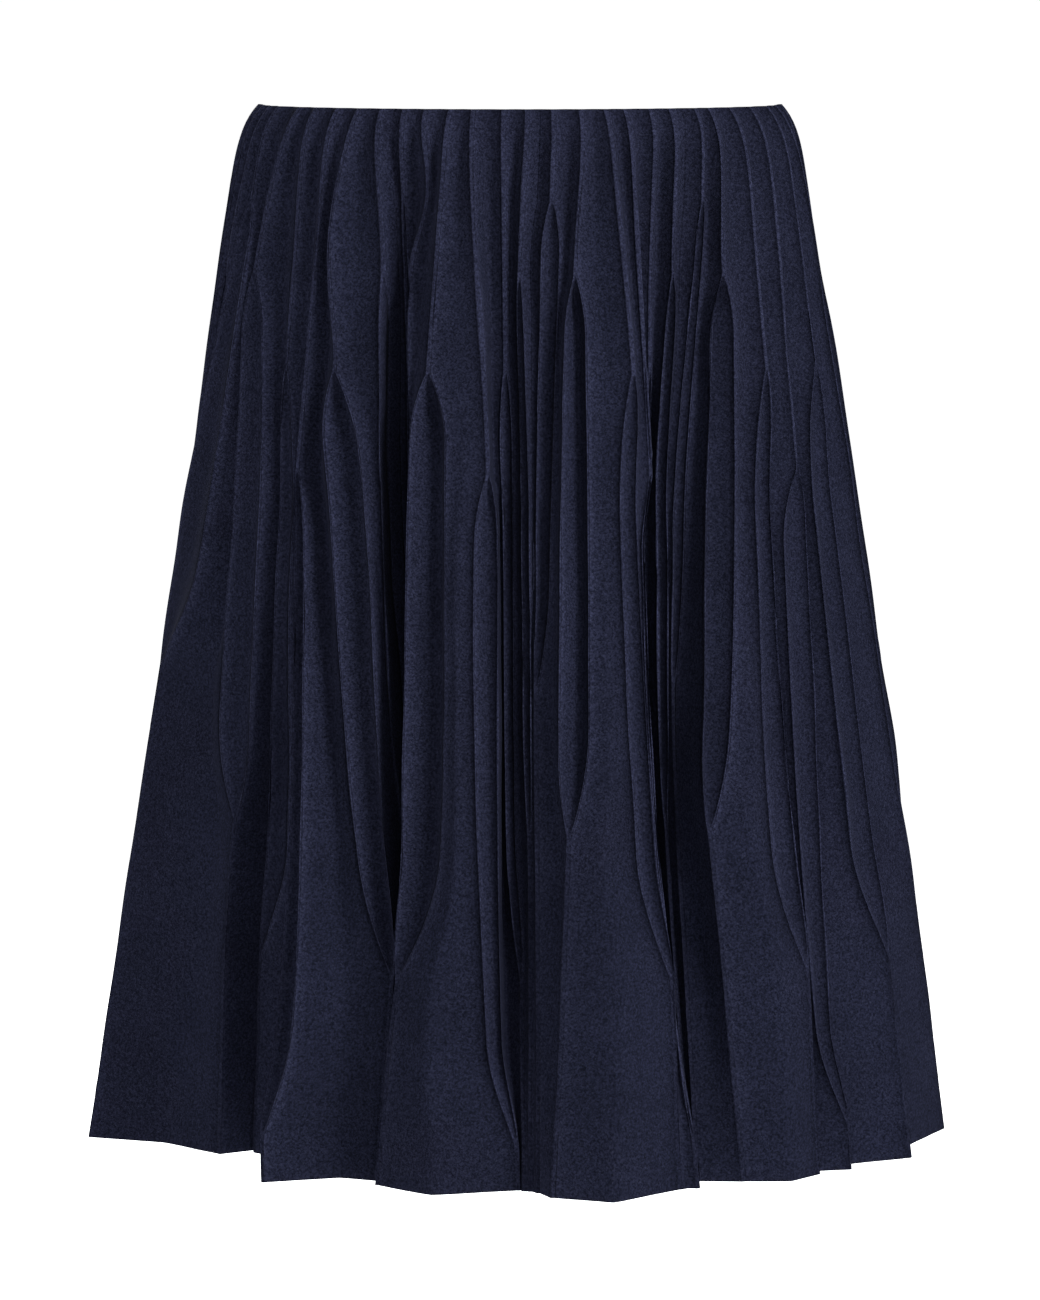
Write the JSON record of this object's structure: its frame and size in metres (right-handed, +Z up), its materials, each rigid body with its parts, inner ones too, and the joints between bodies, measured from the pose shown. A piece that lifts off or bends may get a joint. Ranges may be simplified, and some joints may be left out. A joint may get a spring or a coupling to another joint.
{
  "type": "pleated skirt",
  "caption": "Knee-length pleated wool skirt in worn, hollow form, flaring from a plain waist edge into staggered rows of long pointed pleats.",
  "frame": {"origin": "centre of the waist's top edge", "axes": "+Z up out of the waist, -Z down to the hem, +X to the wearer's left side, -Y to the wearer's front"},
  "size_m": [0.4848, 0.419, 0.58],
  "materials": {
    "navy_wool": "matt wool flannel with a soft nap"
  },
  "bodies": {
    "root": {"gore_front_1": "navy_wool", "gore_front_2": "navy_wool", "gore_front_3": "navy_wool", "gore_front_4": "navy_wool", "gore_back_1": "navy_wool", "gore_back_2": "navy_wool", "gore_back_3": "navy_wool", "gore_back_4": "navy_wool", "gore_back_5": "navy_wool", "gore_back_6": "navy_wool"}
  },
  "joints": []
}
